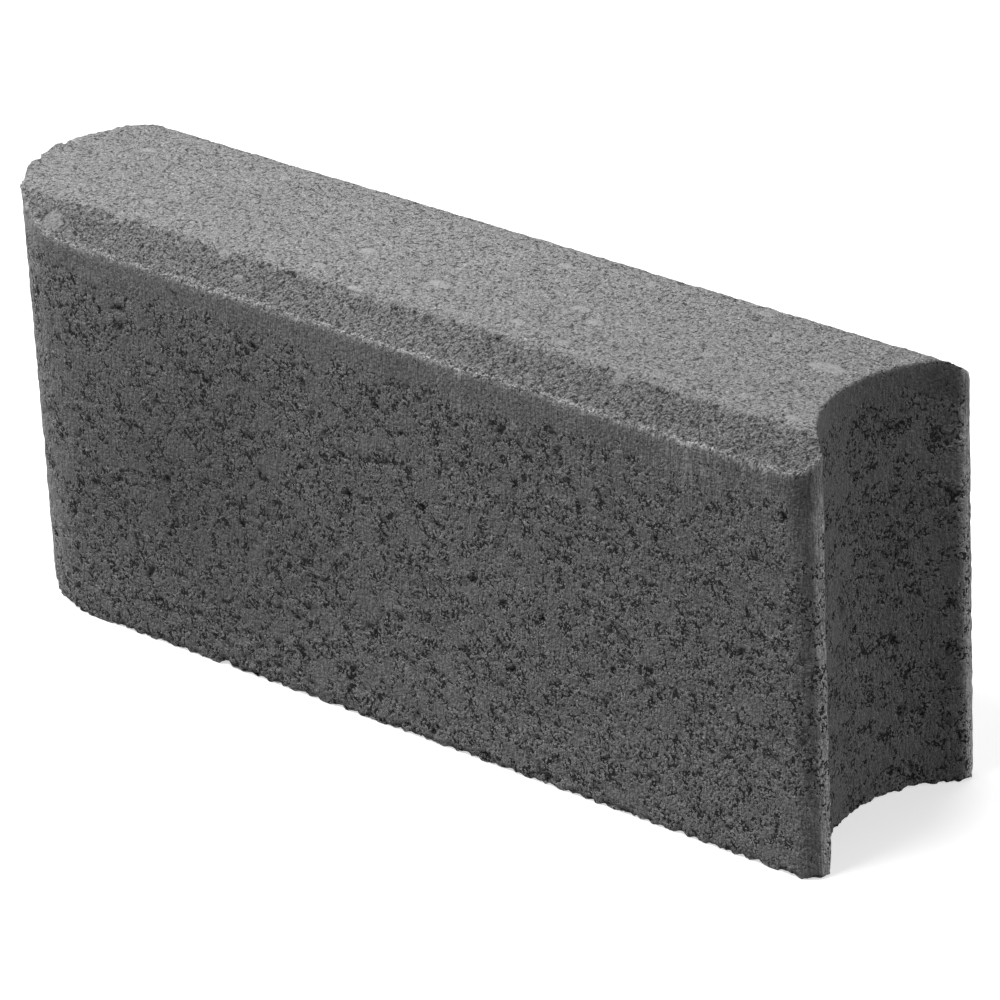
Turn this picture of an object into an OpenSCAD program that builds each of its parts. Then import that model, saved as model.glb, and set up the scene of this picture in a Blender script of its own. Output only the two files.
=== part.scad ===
// Concrete kerb stone with a half-round nose at one end and a matching socket
// at the other, so that a row of stones can follow a straight line or a curve.
//
// Units are millimetres and +Z is up. The origin is in the middle of the
// underside. +X points to the socket end and Y runs across the stone.

/* [Overall size] */
// Length over everything, from the nose to the tips of the horns
length = 400; // [200:1:1000]
// Width between the two long side faces
width = 100; // [60:1:200]
// Height from the underside to the flat top
height = 170; // [60:1:400]

/* [Top bevels] */
// Width of each long bevel, measured across the stone
bevel_w = 13.5; // [2:0.5:25]
// Height of each long bevel, measured down from the top
bevel_h = 11; // [2:0.5:40]

/* [Socket end] */
// Width of each horn's tip, from the side face to the hollow of the socket
horn_w = 9.5; // [4:0.5:20]
// Radius of the upright corner on the outer side of each horn
horn_r = 8.5; // [1:0.5:20]
// Clearance all round between the socket and the next stone's nose
joint_gap = 1; // [0:0.25:5]

/* [Hidden] */

// Smoothness of the round surfaces
$fn = 180;
// Overlap that carries a cut past the surface it breaks through
cut = 1;

half_l = length / 2;
half_w = width / 2;

// The nose is a full half round, so it runs into both side faces smoothly.
nose_r = half_w;
nose_x = -half_l + nose_r;

// The socket is concentric with the next stone's nose and larger by the gap.
// It is set so far back that it leaves each horn its stated width.
socket_r = nose_r + joint_gap;
socket_mouth = half_w - horn_w;
socket_x = half_l + sqrt(pow(socket_r, 2) - pow(socket_mouth, 2));

// A corner can't be rounder than the horn is wide, less a sliver of flat tip.
tip_flat_min = 0.5;
corner_r = min(horn_r, horn_w - tip_flat_min);

concrete_grey = [0.36, 0.36, 0.36];

// Plan outline before the socket is taken out: a bar with one half-round end
module bar_outline() {
    translate([nose_x, 0])
        circle(r = nose_r);
    translate([nose_x, -half_w])
        square([half_l - nose_x, width]);
}

// What is cut away to round one horn's outer corner; side is -1 or 1
module corner_waste(side) {
    waste_y = side > 0 ? half_w - corner_r : -half_w - cut;
    difference() {
        translate([half_l - corner_r, waste_y])
            square(corner_r + cut);
        translate([half_l - corner_r, side * (half_w - corner_r)])
            circle(r = corner_r);
    }
}

module plan_outline() {
    difference() {
        bar_outline();
        translate([socket_x, 0])
            circle(r = socket_r);
        for (side = [-1, 1])
            corner_waste(side);
    }
}

// Cross-section across the stone, drawn with Y to the right and Z up
module bevelled_section() {
    polygon([
        [-half_w, 0],
        [half_w, 0],
        [half_w, height - bevel_h],
        [half_w - bevel_w, height],
        [-half_w + bevel_w, height],
        [-half_w, height - bevel_h]
    ]);
}

// The bevels run straight along the stone, so the nose and the horns cut
// through them and each end shows the bevelled section.
module kerb_stone() {
    color(concrete_grey)
        intersection() {
            linear_extrude(height = height)
                plan_outline();
            translate([-half_l, 0, 0])
                rotate([90, 0, 90])
                    linear_extrude(height = length)
                        bevelled_section();
        }
}

kerb_stone();
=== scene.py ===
"""Looks of the concrete kerb stone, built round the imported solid.

The stone is one closed mesh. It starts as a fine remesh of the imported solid, is worn and
pitted by seeded noise, and is thinned out where it is plain. Lengths inside the shaping
functions are in millimetres, because that is the scale of the grain.
"""
import itertools
import math
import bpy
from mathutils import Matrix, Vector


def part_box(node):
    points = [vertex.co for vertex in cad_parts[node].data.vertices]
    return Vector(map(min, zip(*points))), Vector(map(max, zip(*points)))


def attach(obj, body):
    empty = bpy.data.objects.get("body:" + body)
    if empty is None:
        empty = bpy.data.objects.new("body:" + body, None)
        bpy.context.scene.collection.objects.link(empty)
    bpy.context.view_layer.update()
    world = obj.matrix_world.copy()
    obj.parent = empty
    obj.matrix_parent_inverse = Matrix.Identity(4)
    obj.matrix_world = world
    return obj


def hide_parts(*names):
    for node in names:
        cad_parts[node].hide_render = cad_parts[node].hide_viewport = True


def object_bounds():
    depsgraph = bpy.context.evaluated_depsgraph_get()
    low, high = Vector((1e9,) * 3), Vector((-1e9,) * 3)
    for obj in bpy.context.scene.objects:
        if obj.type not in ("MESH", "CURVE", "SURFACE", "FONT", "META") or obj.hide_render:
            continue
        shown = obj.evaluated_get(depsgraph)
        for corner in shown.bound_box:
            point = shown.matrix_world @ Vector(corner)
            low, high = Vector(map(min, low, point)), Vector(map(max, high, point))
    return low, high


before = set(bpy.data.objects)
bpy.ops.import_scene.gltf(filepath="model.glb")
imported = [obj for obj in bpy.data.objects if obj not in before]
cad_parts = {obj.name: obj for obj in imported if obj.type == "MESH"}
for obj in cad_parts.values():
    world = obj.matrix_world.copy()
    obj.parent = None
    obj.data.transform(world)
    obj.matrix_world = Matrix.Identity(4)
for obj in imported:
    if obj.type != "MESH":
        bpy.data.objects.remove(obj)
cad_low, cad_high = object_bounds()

from types import SimpleNamespace

import bpy
import numpy as np
from mathutils import Matrix, Vector

MM = 0.001
NODE = "kerb_stone"
LOW, HIGH = (np.array(corner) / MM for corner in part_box(NODE))
HALF_L = (HIGH[0] - LOW[0]) / 2
HALF_W = (HIGH[1] - LOW[1]) / 2
HEIGHT = HIGH[2] - LOW[2]

# The design's own sizes, as the solid has them, in millimetres
BEVEL_W = 13.5
BEVEL_H = 11.0
HORN_W = 9.5
HORN_R = 8.5
JOINT_GAP = 1.0
NOSE_R = HALF_W
NOSE_X = -HALF_L + NOSE_R
SOCKET_R = NOSE_R + JOINT_GAP
SOCKET_X = HALF_L + math.sqrt(SOCKET_R ** 2 - (HALF_W - HORN_W) ** 2)

# Mesh fineness
VOXEL = 0.7
TRIANGLES = 196000

# The cast surface lies this far inside the solid's, so that few lumps reach the box
INSET = 0.25
FLOOR_INSET = 0.02

# How far inside the box every point is kept, while it is shaped and once it is thinned out
SHAPED_MARGIN = 0.001
FINAL_MARGIN = 0.01

# Single marks on the front, as shares of the half length and of the height
NICK_X, NICK_Z = -0.465, 0.882
NOTCH_X = -0.41

# How much light each kind of surface gives back
WALL_TONE = 0.171
LID_TONE = 0.275
# Painted shade: the bevels' grey is set below the top's for the shade in their rough sand.
BEVEL_SHADED_TONE = 0.228
# Painted shade: the socket's hollow is given a darker grey than the other walls, for the shade
# inside it.
HOLLOW_SHADED_TONE = 0.138

rng = np.random.default_rng(7)
GRADIENTS = rng.normal(size=(256, 3))
GRADIENTS /= np.linalg.norm(GRADIENTS, axis=1)[:, None]


# ---------------------------------------------------------------- noise

def corner_hash(cell, seed):
    """A repeatable random integer, 0 to 65535, for each row of integer cell coordinates."""
    x, y, z = (cell[:, i].astype(np.uint32) for i in range(3))
    h = x * np.uint32(73856093) ^ y * np.uint32(19349663) ^ z * np.uint32(83492791)
    h ^= np.uint32(seed * 7919 + 12345)
    h = (h ^ (h >> np.uint32(13))) * np.uint32(1274126177)
    h = (h ^ (h >> np.uint32(15))) * np.uint32(2246822519)
    return (h ^ (h >> np.uint32(16))) & np.uint32(65535)


def noise(p, size, seed):
    """Gradient noise, about -1 to 1, with lumps about size across."""
    q = p / size
    cell = np.floor(q).astype(np.int64)
    f = q - cell
    fade = f * f * f * (f * (f * 6 - 15) + 10)
    total = np.zeros(len(p))
    for corner in itertools.product((0, 1), repeat=3):
        step = np.array(corner)
        slope = GRADIENTS[corner_hash(cell + step, seed) % 256]
        weight = np.where(step == 1, fade, 1 - fade).prod(axis=1)
        total += ((f - step) * slope).sum(axis=1) * weight
    return total * 1.7


def layered(p, size, seed, layers=3, gain=0.5):
    """Noise with finer layers on top, about -1 to 1."""
    total, reach = np.zeros(len(p)), 0.0
    for i in range(layers):
        total += noise(p, size / 2 ** i, seed + 31 * i) * gain ** i
        reach += gain ** i
    return total / reach ** 0.7


def scattered(p, size, seed):
    """Distance to the nearest of many scattered points, one in each cube of side size,
    as a share of size, and that point's own random number from 0 to 1."""
    q = p / size
    cell = np.floor(q).astype(np.int64)
    best, own = np.full(len(p), 9.0), np.zeros(len(p))
    for corner in itertools.product((-1, 0, 1), repeat=3):
        at = cell + np.array(corner)
        jitter = [corner_hash(at, seed + k) / 65536.0 for k in range(3)]
        away = np.sqrt(sum((at[:, k] + jitter[k] - q[:, k]) ** 2 for k in range(3)))
        nearer = away < best
        best = np.where(nearer, away, best)
        own = np.where(nearer, corner_hash(at, seed + 5) / 65536.0, own)
    return best, own


def ramp(x, low, high):
    """0 below low, 1 above high, and smooth between; low may be the larger."""
    t = np.clip((x - low) / (high - low), 0, 1)
    return t * t * (3 - 2 * t)


def bump(x, width):
    """1 at x = 0, falling to nothing over about width."""
    return np.exp(-(x / width) ** 2)


# ---------------------------------------------------------------- where a point is

class Places:
    """Distances in millimetres from each point to the faces of the plain solid."""

    def __init__(self, p):
        x, y, z = p.T
        across = np.abs(y)
        self.p, self.x, self.y, self.z, self.across = p, x, y, z, across
        self.top = HEIGHT - z
        self.floor = z
        slope = math.hypot(BEVEL_W, BEVEL_H)
        self.bevel = ((HALF_W - across) * BEVEL_H + (HEIGHT - z) * BEVEL_W
                      - BEVEL_W * BEVEL_H) / slope
        nose = NOSE_R - np.hypot(x - NOSE_X, y)
        self.side = np.where(x < NOSE_X, nose, HALF_W - across)
        self.hollow = np.hypot(x - SOCKET_X, y) - SOCKET_R
        corner_x, corner_y = HALF_L - HORN_R, HALF_W - HORN_R
        round_off = HORN_R - np.hypot(x - corner_x, across - corner_y)
        in_corner = (x > corner_x) & (across > corner_y)
        self.side = np.where(in_corner, round_off, self.side)
        self.tip = np.where(in_corner, round_off, HALF_L - x)
        self.wall = np.minimum(np.minimum(self.side, self.hollow), self.tip)
        self.lid = np.minimum(self.top, self.bevel)
        self.is_floor = self.floor < np.minimum(self.lid, self.wall)
        self.is_wall = ~self.is_floor & (self.wall < self.lid)
        self.is_top = ~self.is_floor & ~self.is_wall & (self.top < self.bevel)
        self.is_bevel = ~(self.is_floor | self.is_wall | self.is_top)
        # 1 on the bevels, 0 on the top, with a wavering soft border between them
        waver = 1.6 * noise(p, 7.0, 351) + 1.0 * noise(p, 2.5, 352)
        self.bevelled = ramp(across - (HALF_W - BEVEL_W) + waver, -1.5, 2.5)
        self.is_hollow = self.is_wall & (self.hollow < np.minimum(self.side, self.tip))
        # Height of the lid's edge straight above, and how far below it the point is
        lid_edge = np.minimum(HEIGHT, HEIGHT - BEVEL_H + (HALF_W - across) * BEVEL_H / BEVEL_W)
        self.below_lid = lid_edge - z


# Larger pebbles that show in the top face, as (along, across, half length, half width).
# Along and across are shares of the half length and the half width of the stone.
PEBBLES = [
    (0.825, 0.15, 7.0, 4.2), (-0.66, -0.40, 3.4, 2.6), (-0.39, -0.76, 3.2, 1.8),
    (-0.20, -0.56, 3.0, 2.2), (-0.165, -0.17, 4.4, 2.8), (0.035, -0.31, 5.2, 3.2),
    (0.315, -0.06, 4.0, 2.6), (0.375, -0.18, 3.8, 2.4), (0.255, -0.49, 3.6, 2.4),
    (0.175, 0.46, 3.2, 2.0), (0.355, 0.57, 3.0, 2.0), (0.545, -0.76, 3.0, 2.4),
    (-0.80, -0.88, 4.6, 3.2), (-0.83, 0.31, 3.6, 2.4), (0.68, 0.31, 3.4, 1.8),
    (-0.08, -0.71, 3.6, 1.8), (0.38, -0.57, 2.6, 2.2), (-0.33, -0.88, 3.0, 1.4),
    (0.60, 0.62, 4.0, 2.2), (0.90, -0.62, 3.4, 2.4), (-0.52, 0.50, 2.6, 1.8),
    (0.78, -0.52, 3.0, 2.0), (0.10, 0.10, 2.4, 1.8), (0.62, -0.15, 2.6, 1.6),
]


def pebble_field(s):
    """How far inside a pebble each point is, 0 to 1, and the groove on one side of each pebble,
    which the colour darkens through the pit mark as a painted shadow.
    """
    inside, groove = np.zeros(len(s.x)), np.zeros(len(s.x))
    wobble = 0.24 * noise(s.p, 3.4, 301) + 0.12 * noise(s.p, 1.7, 302)
    for along, over, half_long, half_wide in PEBBLES:
        near = (s.z > HEIGHT - BEVEL_H) & (np.abs(s.x - along * HALF_L) < 2 * half_long)
        at = np.where(near)[0]
        dx = (s.x[at] - along * HALF_L) / half_long
        dy = (s.y[at] - over * HALF_W) / half_wide
        r = np.hypot(dx, dy) + wobble[at]
        inside[at] = np.maximum(inside[at], ramp(r, 1.10, 0.80))
        # The groove is kept to one side of each pebble only, where a shadow would fall.
        one_sided = ramp(dy - 0.5 * dx, -0.6, 0.8)
        groove[at] = np.maximum(groove[at], bump(r - 1.2, 0.16) * one_sided)
    return inside, groove


# ---------------------------------------------------------------- shaping

def pits_on_walls(s, sealed):
    """Depth of the larger open pores in the mould faces, in millimetres."""
    pores = 0.60 * noise(s.p, 4.2, 11) + 0.45 * noise(s.p, 2.4, 12)
    clusters = 0.30 * noise(s.p, 14.0, 13) + 0.20 * noise(s.p, 38.0, 14)
    depth = ramp(pores + clusters - 0.5 * sealed, 0.26, 0.80) * (0.8 + 0.6 * noise(s.p, 7.0, 15))
    deep = ramp(noise(s.p, 6.0, 16) + 0.35 * noise(s.p, 2.8, 17) - 0.5 * sealed, 0.58, 0.95)
    return np.clip(depth, 0, 1.5) + 1.3 * deep


def pits_on_lid(s, pebbly):
    """Depth of the pores in the struck top face and, deeper, in the bevels."""
    pores = 0.6 * noise(s.p, 3.0, 21) + 0.4 * noise(s.p, 1.8, 22) + 0.25 * noise(s.p, 15.0, 23)
    near_bevel = bump(s.across - (HALF_W - BEVEL_W), 3.6)
    openness = 0.46 - 0.10 * s.bevelled - 0.20 * near_bevel
    depth = ramp(pores, openness, openness + 0.4) * (0.4 + 0.4 * s.bevelled + 0.7 * near_bevel)
    return depth * (1 - pebbly)


def edge_wear(s):
    """How much is worn off along the edges, in millimetres, always at least a little."""
    rough = 0.5 + 0.5 * layered(s.p, 4.0, 41, 3)
    rim = np.maximum(s.wall, s.lid)
    lid_edge = bump(rim, 1.1) * 0.6 * rough
    nose_top = ramp(s.x, NOSE_X - 4, NOSE_X - 25) * bump(rim, 2.4)
    nose_top *= 2.6 * ramp(layered(s.p, 7.0, 42, 3), -0.2, 0.7)
    base = bump(np.maximum(s.wall, s.floor), 1.9)
    chips = ramp(layered(s.p, 4.4, 43, 3), -0.35, 0.75)
    horns = bump(np.maximum(s.hollow, s.tip), 0.9) * 0.35 * rough
    shoulder = 0.55 * bump(np.maximum(s.top, s.bevel), 2.6) * (0.7 + 0.5 * noise(s.p, 6.0, 44))
    return lid_edge + nose_top + base * (0.2 + 2.4 * chips) + horns + shoulder


def crumbs(s):
    """How far lumps stand out along the top edge of the nose, in millimetres."""
    at_edge = ramp(s.x, NOSE_X + 10, NOSE_X - 10) * bump(np.maximum(s.wall, s.lid), 2.6)
    return 2.0 * at_edge * ramp(layered(s.p, 6.0, 45, 3), 0.0, 0.9)


def flash_ridge(s):
    """Height of the thin fin that the mould's joint leaves along the bevel's lower edge."""
    along = np.stack([s.x, s.y, np.zeros(len(s.x))], axis=1)
    broken = ramp(layered(along, 9.0, 51, 3), -0.35, 0.25)
    fine = 0.7 + 0.5 * noise(along, 1.6, 52)
    at_edge = bump(s.side, 1.0) * bump(s.bevel, 1.0)
    return at_edge * (0.25 + 0.75 * broken) * fine


def wall_skin(s, sealed):
    """Slow waviness of the mould faces, and the lumps of the grains behind the skin."""
    waves = 0.16 * noise(s.p, 38.0, 61) + 0.10 * noise(s.p, 11.0, 62)
    lumps = 0.34 * noise(s.p, 4.6, 63) + 0.22 * noise(s.p, 2.8, 64)
    return waves + lumps * (1 - 0.75 * sealed)


def lid_skin(s):
    """Slow waviness and sandy lumps of the top and the bevels."""
    waves = 0.14 * noise(s.p, 30.0, 65) + 0.07 * noise(s.p, 8.0, 66)
    sand = noise(s.p, 2.2, 67) * (0.12 + 0.16 * s.bevelled)
    ribs = noise(s.p * np.array([0.9, 0.35, 0.35]), 2.4, 68) * 0.16 * s.bevelled
    return waves + sand + ribs


def pasty_skin(s):
    """Where paste has been dragged down the walls in pale streaks, 0 to 1: in patches under
    the lid, and more of them towards the socket end."""
    patches = ramp(noise(s.p, 26.0, 84) + 0.9 * s.x / HALF_L, 0.1, 0.8)
    return patches * ramp(s.below_lid, 30.0, 12.0) * s.is_wall * ~s.is_hollow


def gouges(s):
    """A few single marks: the slanted nick near the nose and the notch in the foot."""
    on_front = s.y < -HALF_W + 4
    u, v = s.x - NICK_X * HALF_L, s.z - NICK_Z * HEIGHT
    lengthwise, sideways = u * 0.45 - v * 0.9, u * 0.9 + v * 0.45
    nick = 1.5 * bump(sideways, 0.55) * ramp(np.abs(lengthwise), 4.2, 3.0) * s.is_wall
    notch = 2.6 * bump(s.x - NOTCH_X * HALF_L, 1.7) * ramp(s.z, 4.0, 0.6)
    return (nick + notch) * on_front


def on_horn(s):
    """1 at the horns' end of the stone, fading to 0 where the long sides begin."""
    return ramp(s.x, HALF_L - 11, HALF_L - 7)


def sealed_skin(s):
    """Where the mould has drawn the walls smooth, 0 to 1: under the lid, on the horns'
    corners, and in scattered patches."""
    band = ramp(s.below_lid + 2.5 * noise(s.p, 9.0, 340), 15.0, 6.0)
    corner = on_horn(s) * ramp(s.hollow, 1.0, 4.0)
    corner *= ramp(np.abs(s.below_lid - 0.5 * HEIGHT), 0.22 * HEIGHT, 0.36 * HEIGHT)
    away, own = scattered(s.p, 12.0, 330)
    patch = ramp(away, 0.46, 0.30) * (own > 0.5)
    return np.maximum(np.maximum(band, 0.9 * corner), 0.9 * patch)


def shape_stone(p, normals):
    """Moves every point of the plain solid to the cast surface and says what it is."""
    s = Places(p)
    pebbly, groove = pebble_field(s)
    sealed = sealed_skin(s)
    on_wall, on_lid = s.is_wall.astype(float), (s.is_top | s.is_bevel).astype(float)
    pits = on_wall * pits_on_walls(s, sealed)
    pits += on_lid * (pits_on_lid(s, pebbly) + 0.45 * groove)
    skin = on_wall * wall_skin(s, sealed) + on_lid * lid_skin(s) * (1 - 0.8 * pebbly)
    skin += 0.16 * pebbly * on_lid
    worn = edge_wear(s) + gouges(s)
    depth = np.where(s.is_floor, FLOOR_INSET + worn, INSET + pits + worn - skin)
    inward = np.maximum(depth, 0) - crumbs(s)
    moved = p - normals * inward[:, None]
    moved[:, 2] += flash_ridge(s)
    moved = np.clip(moved, LOW + SHAPED_MARGIN, HIGH - SHAPED_MARGIN)
    return moved, looks_of(s, pits, pebbly, sealed)


def tone_and_painted_light_of(s, pebbly):
    """How much lighter or darker than its zone's own grey each point is: random patches and
    lighter pebbles, with painted light and painted shade on parts of the walls.
    """
    tone = 1 + (0.07 + 0.05 * s.is_wall) * layered(s.p, 24.0, 81, 3)
    tone *= 1 + 0.14 * pebbly * ~s.is_wall
    away = np.hypot(s.x + 0.45 * HALF_L, s.z - 0.45 * HEIGHT)
    tone *= 1 - 0.25 * bump(away, 60.0) * (s.y < 0) * s.is_wall
    tone *= 1 - 0.12 * ramp(s.x, -0.2 * HALF_L, 0.9 * HALF_L) * ~s.is_wall
    # Painted light: the walls grade from darker at the top to lighter at the foot towards the
    # socket end, and are lighter again near the foot, standing in for light thrown up from the
    # floor.
    lower_half = 0.5 - s.z / HEIGHT
    tone *= 1 + 0.25 * lower_half * ramp(s.x, -0.5 * HALF_L, 0.5 * HALF_L) * s.is_wall
    tone *= 1 + 0.10 * ramp(s.z, 0.3 * HEIGHT, 0.05 * HEIGHT) * ~s.is_hollow
    # Painted shade: the walls at the horns' end are darker, most of all in the band just under
    # the lid, where less light reaches them.
    tone *= 1 - on_horn(s) * s.is_wall * (0.06 + 0.32 * ramp(s.below_lid, 22.0, 10.0))
    # Painted shade: the socket's hollow is darker low down, where shade gathers in it.
    tone *= 1 - 0.15 * s.is_hollow * ramp(s.z, 30.0, 8.0)
    # Painted highlight: a bright strip on the flat ends of the horns, where light from the right
    # and behind glances off them.
    tip = ramp(s.x, HALF_L - 1.5, HALF_L - 0.6) * s.is_wall
    # Painted rim light: the walls round the nose's far end are lighter, standing in for the
    # light from the back left.
    nose_end = ramp(s.x, NOSE_X - 12, NOSE_X - 38) * s.is_wall
    return tone * (1 + 1.5 * tip) * (1 + 0.28 * nose_end)


def looks_of(s, pits, pebbly, sealed):
    """The numbers, one a point, that the concrete's material reads."""
    lid = (s.is_top | s.is_bevel).astype(float)
    return {
        "tone": tone_and_painted_light_of(s, pebbly),
        "zone": layered(s.p, 5.0, 83, 3),
        "pit": np.clip(pits / 1.2, 0, 1),
        "pebble": pebbly,
        "lid": lid,
        "bevel": s.bevelled * lid,
        "hollow": s.is_hollow.astype(float),
        "sealed": sealed * s.is_wall,
        "ridge": bump(s.side, 1.1) * bump(s.bevel, 1.1),
        "paste": pasty_skin(s),
    }


# ---------------------------------------------------------------- mesh

def points_of(mesh):
    co = np.empty(len(mesh.vertices) * 3, np.float32)
    mesh.vertices.foreach_get("co", co)
    return co.reshape(-1, 3).astype(float)


def normals_of(mesh):
    no = np.empty(len(mesh.vertices) * 3, np.float32)
    mesh.vertices.foreach_get("normal", no)
    return no.reshape(-1, 3).astype(float)


def with_modifier(piece, kind, **settings):
    """Applies one modifier to the piece's mesh."""
    modifier = piece.modifiers.new(kind.lower(), kind)
    for name, value in settings.items():
        setattr(modifier, name, value)
    evaluated = piece.evaluated_get(bpy.context.evaluated_depsgraph_get())
    made = bpy.data.meshes.new_from_object(evaluated)
    piece.modifiers.remove(modifier)
    old, piece.data = piece.data, made
    bpy.data.meshes.remove(old)


def make_stone():
    """The whole stone as one closed mesh, riding in place of its CAD node."""
    piece = bpy.data.objects.new("cast_stone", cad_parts[NODE].data.copy())
    bpy.context.scene.collection.objects.link(piece)
    with_modifier(piece, "REMESH", mode="VOXEL", voxel_size=VOXEL * MM, adaptivity=0.0)
    mesh = piece.data
    mesh.materials.clear()
    moved, looks = shape_stone(points_of(mesh) / MM, normals_of(mesh))
    mesh.vertices.foreach_set("co", (moved * MM).astype(np.float32).ravel())
    for name, values in looks.items():
        attribute = mesh.attributes.new(name, "FLOAT", "POINT")
        attribute.data.foreach_set("value", values.astype(np.float32))
    mesh.update()
    share = TRIANGLES / (2 * len(mesh.polygons))
    with_modifier(piece, "DECIMATE", decimate_type="COLLAPSE", ratio=min(1.0, share))
    mesh = piece.data
    inside = np.clip(points_of(mesh) / MM, LOW + FINAL_MARGIN, HIGH - FINAL_MARGIN)
    mesh.vertices.foreach_set("co", (inside * MM).astype(np.float32).ravel())
    mesh.polygons.foreach_set("use_smooth", np.ones(len(mesh.polygons), bool))
    mesh.update()
    return piece


# ---------------------------------------------------------------- materials

class Nodes:
    """Short calls for making a node tree."""

    def __init__(self, tree):
        self.tree = tree

    def add(self, kind, **settings):
        node = self.tree.nodes.new(kind)
        for name, value in settings.items():
            setattr(node, name, value)
        return node

    def put(self, socket, value):
        """Links value to the socket if it is a socket, and sets it if it is a number."""
        if isinstance(value, bpy.types.NodeSocket):
            self.tree.links.new(value, socket)
        else:
            socket.default_value = value

    def math(self, operation, a, b=0.0, clamp=False):
        node = self.add("ShaderNodeMath", operation=operation, use_clamp=clamp)
        self.put(node.inputs[0], a)
        self.put(node.inputs[1], b)
        return node.outputs[0]

    def plus(self, *values):
        total = values[0]
        for value in values[1:]:
            total = self.math("ADD", total, value)
        return total

    def times(self, *values):
        total = values[0]
        for value in values[1:]:
            total = self.math("MULTIPLY", total, value)
        return total

    def minus(self, a, b):
        return self.math("SUBTRACT", a, b)

    def centred(self, value):
        return self.math("SUBTRACT", value, 0.5)

    def largest(self, a, b):
        return self.math("MAXIMUM", a, b)

    def ramp(self, value, low, high, to_low=0.0, to_high=1.0):
        node = self.add("ShaderNodeMapRange", interpolation_type="SMOOTHSTEP")
        for socket, number in zip(node.inputs[:5], (value, low, high, to_low, to_high)):
            self.put(socket, number)
        return node.outputs[0]

    def noise(self, where, size, detail=2.0, roughness=0.5, warp=0.0):
        """Noise of 0 to 1 with lumps about size millimetres across."""
        node = self.add("ShaderNodeTexNoise")
        self.put(node.inputs["Vector"], where)
        self.put(node.inputs["Scale"], 1.0 / (size * MM))
        self.put(node.inputs["Detail"], detail)
        self.put(node.inputs["Roughness"], roughness)
        self.put(node.inputs["Distortion"], warp)
        return node.outputs[0]

    def grains(self, where, size):
        """A random number for each grain, 0 to 1, with grains of about size millimetres."""
        node = self.add("ShaderNodeTexVoronoi")
        self.put(node.inputs["Vector"], where)
        self.put(node.inputs["Scale"], 1.0 / (size * MM))
        split = self.add("ShaderNodeSeparateColor")
        self.put(split.inputs[0], node.outputs["Color"])
        return split.outputs[0]

    def seams(self, where, size):
        """Distance to the seam between one grain and the next, in grains."""
        node = self.add("ShaderNodeTexVoronoi", feature="DISTANCE_TO_EDGE")
        self.put(node.inputs["Vector"], where)
        self.put(node.inputs["Scale"], 1.0 / (size * MM))
        return node.outputs["Distance"]

    def warped(self, where, size, reach):
        """The place moved about by noise, by up to about reach millimetres."""
        node = self.add("ShaderNodeTexNoise")
        self.put(node.inputs["Vector"], where)
        self.put(node.inputs["Scale"], 1.0 / (size * MM))
        self.put(node.inputs["Detail"], 1.0)
        shift = self.add("ShaderNodeVectorMath", operation="MULTIPLY_ADD")
        self.put(shift.inputs[0], node.outputs["Color"])
        shift.inputs[1].default_value = (2 * reach * MM,) * 3
        self.put(shift.inputs[2], where)
        return shift.outputs[0]

    def stretched(self, where, scale):
        node = self.add("ShaderNodeMapping")
        self.put(node.inputs["Vector"], where)
        node.inputs["Scale"].default_value = scale
        return node.outputs[0]

    def attribute(self, name):
        return self.add("ShaderNodeAttribute", attribute_name=name).outputs["Fac"]


def wall_relief(n, body, seams, cracks, zone, sealed):
    """Pores between the grains of a mould face. Gives how broken the skin is, how open
    and how deep its pores are, and a painted highlight round the rim of each pore, all 0 to 1."""
    broken = n.ramp(n.plus(zone, n.times(sealed, -0.9)), -0.6, 0.75)
    field = n.plus(body, n.times(seams, broken, 0.15), n.times(cracks, 0.13),
                   n.times(zone, 0.16), n.times(sealed, -0.085))
    # Painted highlight: a lighter band round the rim of each pore, where light from above would
    # catch it.
    pore_rim_highlight = n.times(n.ramp(field, 0.52, 0.59), n.ramp(field, 0.63, 0.605))
    return broken, n.ramp(field, 0.600, 0.635), n.ramp(field, 0.62, 0.71), pore_rim_highlight


def sand_gaps(n, body, cracks, zone, bevel):
    """Gaps between the sand grains of the top and the bevels, and the short cracks
    round the larger grains, 0 to 1. Both are darkened in the colour as painted shade."""
    field = n.plus(body, n.times(zone, 0.04), n.times(bevel, 0.02), n.times(cracks, 0.13))
    return n.ramp(field, 0.57, 0.65), n.ramp(field, 0.64, 0.72)


MARKS = ("tone", "zone", "pit", "pebble", "lid", "bevel", "hollow", "sealed", "ridge", "paste")


def textures(n, m):
    """Everything that the colour and the relief are made of, zoned by the marks m."""
    where = n.add("ShaderNodeTexCoord").outputs["Object"]
    drawn = n.stretched(where, (1.0, 1.0, 0.85))
    bent = n.warped(drawn, 1.9, 0.9)
    wall = n.minus(1.0, m.lid)
    rough_lid = n.times(m.lid, n.minus(1.0, n.times(m.pebble, 0.75)))
    body = n.noise(drawn, 1.25, 2.0, 0.65)
    seams = n.ramp(n.seams(bent, 2.2), 0.22, 0.0)
    cracks = n.ramp(n.seams(bent, 5.2), 0.06, 0.0)
    broken, voids, deep, pore_rim_highlight = (n.times(part, wall) for part in
                                wall_relief(n, body, seams, cracks, m.zone, m.sealed))
    gaps, arcs = (n.times(part, rough_lid) for part in
                  sand_gaps(n, body, cracks, m.zone, m.bevel))
    drag = n.centred(n.noise(n.stretched(where, (1.0, 1.0, 0.13)), 0.7, 1.0))
    streaks = n.noise(n.stretched(where, (1.0, 1.0, 0.2)), 2.4, 1.0)
    return SimpleNamespace(
        wall=wall, body=body, broken=broken, voids=voids, deep=deep, pore_rim_highlight=pore_rim_highlight,
        gaps=gaps, arcs=arcs,
        fine_grain=n.grains(where, 0.6),
        sand_grain=n.grains(where, 1.0),
        fine=n.centred(n.noise(where, 0.5, 1.0, 0.6)),
        coarse=n.centred(n.noise(where, 1.6, 2.0, 0.65)),
        drag=n.times(drag, n.plus(wall, n.times(m.hollow, -0.35))),
        streaks=n.times(m.paste, n.ramp(streaks, 0.54, 0.70)),
        smooth=n.minus(1.0, n.times(m.pebble, 0.6)))


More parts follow.
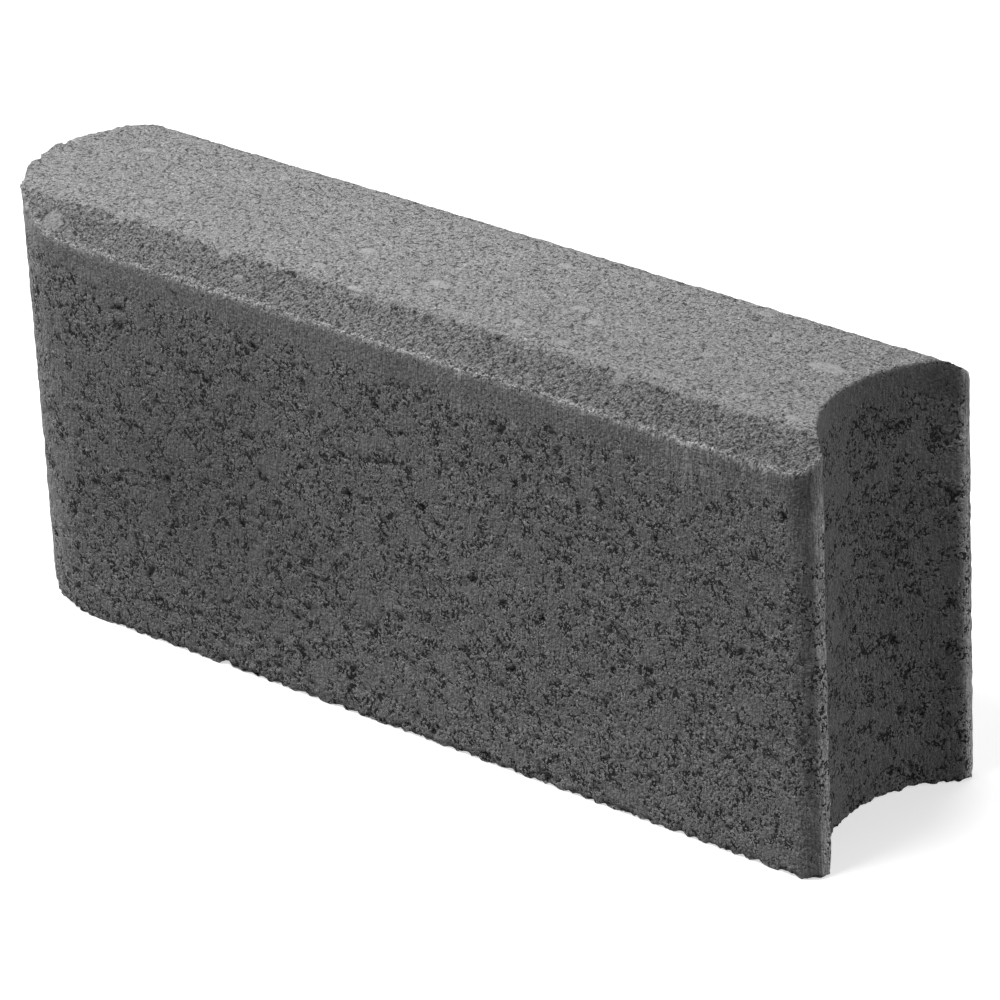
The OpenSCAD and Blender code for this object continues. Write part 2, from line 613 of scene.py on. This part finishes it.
def grey_of(n, m, t):
    """How much light the concrete gives back at each place, from the textures t, with painted
    shade in its hollows and painted highlights on pore rims, grains and the flash fin.
    """
    base = n.plus(n.times(t.wall, WALL_TONE), n.times(m.lid, LID_TONE),
                  n.times(m.bevel, BEVEL_SHADED_TONE - LID_TONE),
                  n.times(m.hollow, HOLLOW_SHADED_TONE - WALL_TONE))
    speckle = n.times(n.plus(0.82, n.times(t.broken, 0.55), n.times(m.lid, 0.13),
                             n.times(m.bevel, 0.20)), t.smooth)
    # The lighter grains in broken skin are partly pale sand and partly painted glints.
    grains = n.plus(n.times(n.centred(t.fine_grain), 0.7), n.times(t.fine, 1.2),
                    n.times(t.coarse, 0.9), n.times(n.centred(t.sand_grain), m.lid, 0.25),
                    n.times(n.ramp(t.sand_grain, 0.8, 0.9), t.broken, 0.9))
    broad = n.plus(n.times(t.drag, 1.6), n.times(t.pore_rim_highlight, 0.70), n.times(t.broken, 0.14),
                   n.times(t.streaks, 0.55))
    shade = n.plus(1.0, n.times(grains, speckle), broad)
    # Painted shade: the pores, the deep pores, the gaps and cracks between the sand grains and
    # the pits of the mesh are darkened where shade would fall in them, along with some darker
    # colour deep in the pores.
    darkenings = ((t.voids, 0.64), (t.deep, 0.90), (t.gaps, 0.26), (t.arcs, 0.66), (m.pit, 0.55))
    for dark, share in darkenings:
        shade = n.times(shade, n.minus(1.0, n.times(dark, share)))
    # The flash fin is lighter, partly for its paler paste and partly as a painted highlight
    # where its top catches the light from above.
    fin = n.times(m.ridge, n.ramp(t.coarse, -0.20, 0.06))
    specks = n.ramp(t.fine_grain, 0.994, 0.998)
    shade = n.times(shade, m.tone, n.plus(1.0, n.times(fin, 1.1)))
    return n.times(base, n.largest(n.plus(shade, n.times(specks, 0.5)), 0.05))


def height_of(n, m, t):
    """Height of the relief too fine for the mesh, in millimetres."""
    relief = n.times(n.plus(0.60, n.times(t.broken, 1.1), n.times(m.lid, 0.4),
                            n.times(m.bevel, 0.9)), t.smooth)
    return n.plus(n.times(t.fine, relief, 0.15), n.times(n.centred(t.body), relief, -1.8),
                  n.times(t.drag, 0.6), n.times(t.voids, -0.35), n.times(t.deep, -0.4),
                  n.times(t.gaps, -0.2), n.times(t.arcs, -0.3))


def concrete():
    """Grey pressed concrete: sandy on top, drawn and pored on the mould faces."""
    material = bpy.data.materials.new("pressed_concrete")
    material.use_nodes = True
    n = Nodes(material.node_tree)
    shader = material.node_tree.nodes["Principled BSDF"]
    m = SimpleNamespace(**{name: n.attribute(name) for name in MARKS})
    t = textures(n, m)
    grey = grey_of(n, m, t)
    colour = n.add("ShaderNodeCombineColor")
    for socket in colour.inputs:
        n.put(socket, grey)
    n.put(shader.inputs["Base Color"], colour.outputs[0])
    relief = n.add("ShaderNodeBump")
    relief.inputs["Strength"].default_value = 1.0
    relief.inputs["Distance"].default_value = MM
    n.put(relief.inputs["Height"], height_of(n, m, t))
    n.put(shader.inputs["Normal"], relief.outputs[0])
    shader.inputs["Roughness"].default_value = 0.9
    shader.inputs["Specular IOR Level"].default_value = 0.35
    return material


def plain_floor_material():
    """Pale and matt, with a glow that keeps the stone's shadow faint."""
    material = bpy.data.materials.new("studio_floor")
    material.use_nodes = True
    shader = material.node_tree.nodes["Principled BSDF"]
    shader.inputs["Base Color"].default_value = (FLOOR_GREY, FLOOR_GREY, FLOOR_GREY, 1)
    shader.inputs["Emission Color"].default_value = (1, 1, 1, 1)
    shader.inputs["Emission Strength"].default_value = FLOOR_GLOW
    shader.inputs["Roughness"].default_value = 0.9
    return material


# ---------------------------------------------------------------- studio

FLOOR_HALF = 6.0
FLOOR_GREY = 0.6
FLOOR_GLOW = 0.6
LIGHTS = [
    # name, azimuth, elevation, distance, size, power
    ("key", -12, 68, 1.8, 0.6, 26),
    ("back_top", 180, 70, 1.8, 0.8, 8),
    ("rim_left", 262, 18, 1.6, 1.2, 15),
    ("rim_right", 120, 20, 1.7, 1.0, 7.5),
    ("fill", -60, 20, 2.2, 1.2, 10),
]
WORLD_STRENGTH = 0.14
BACKGROUND_STRENGTH = 0.85

# The photo's view: degrees, millimetres of lens, and metres from the stone's centre
CAMERA_AZIMUTH = 41.22
CAMERA_ELEVATION = 26.59
CAMERA_ROLL = 2.858
CAMERA_LENS = 206.84
CAMERA_DISTANCE = 2.1547
CAMERA_AIM = Vector((0, 0.01985, -0.01947))


def direction(azimuth, elevation):
    """Unit vector towards a place seen from the stone; azimuth 0 is in front, at -Y."""
    a, e = math.radians(azimuth), math.radians(elevation)
    return Vector((math.sin(a) * math.cos(e), -math.cos(a) * math.cos(e), math.sin(e)))


def make_floor(material):
    """A level plane under the stone. It sends no light back onto the stone's sides."""
    half = FLOOR_HALF
    mesh = bpy.data.meshes.new("floor")
    corners = [(-half, -half, 0), (half, -half, 0), (half, half, 0), (-half, half, 0)]
    mesh.from_pydata(corners, [], [(0, 1, 2, 3)])
    mesh.materials.append(material)
    floor = bpy.data.objects.new("floor", mesh)
    bpy.context.scene.collection.objects.link(floor)
    floor.location.z = cad_low.z
    floor.visible_diffuse = False


def make_lights():
    """Round area lights that all face the middle of the stone."""
    centre = (cad_low + cad_high) / 2
    for name, azimuth, elevation, distance, size, power in LIGHTS:
        data = bpy.data.lights.new(name, "AREA")
        data.shape, data.size, data.energy = "DISK", size, power
        light = bpy.data.objects.new(name, data)
        towards = direction(azimuth, elevation)
        light.location = centre + towards * distance
        light.rotation_mode = "QUATERNION"
        light.rotation_quaternion = towards.to_track_quat("Z", "Y")
        bpy.context.scene.collection.objects.link(light)


def make_world():
    """A faint even light, which looks as pale as the floor where it is seen itself."""
    world = bpy.data.worlds.new("studio")
    world.use_nodes = True
    n = Nodes(world.node_tree)
    seen = n.add("ShaderNodeLightPath").outputs["Is Camera Ray"]
    strength = n.plus(WORLD_STRENGTH, n.times(seen, BACKGROUND_STRENGTH - WORLD_STRENGTH))
    background = world.node_tree.nodes["Background"]
    background.inputs["Color"].default_value = (1, 1, 1, 1)
    n.put(background.inputs["Strength"], strength)
    bpy.context.scene.world = world


def make_camera():
    """A long lens looking down at the front and the socket end, very slightly rolled."""
    data = bpy.data.cameras.new("camera")
    data.sensor_width, data.lens = 36.0, CAMERA_LENS
    data.clip_start, data.clip_end = 0.1, 50.0
    camera = bpy.data.objects.new("camera", data)
    back = direction(CAMERA_AZIMUTH, CAMERA_ELEVATION)
    camera.location = (cad_low + cad_high) / 2 + CAMERA_AIM + back * CAMERA_DISTANCE
    right = Vector((-back.y, back.x, 0)).normalized()
    level = Matrix((right, back.cross(right), back)).transposed()
    turn = Matrix.Rotation(math.radians(CAMERA_ROLL), 3, -back) @ level
    camera.rotation_mode = "QUATERNION"
    camera.rotation_quaternion = turn.to_quaternion()
    bpy.context.scene.collection.objects.link(camera)
    bpy.context.scene.camera = camera


make_camera()
make_world()
make_lights()
make_floor(plain_floor_material())
stone = make_stone()
stone.data.materials.append(concrete())
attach(stone, "root")
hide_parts(NODE)
bpy.context.scene.view_settings.view_transform = "Standard"
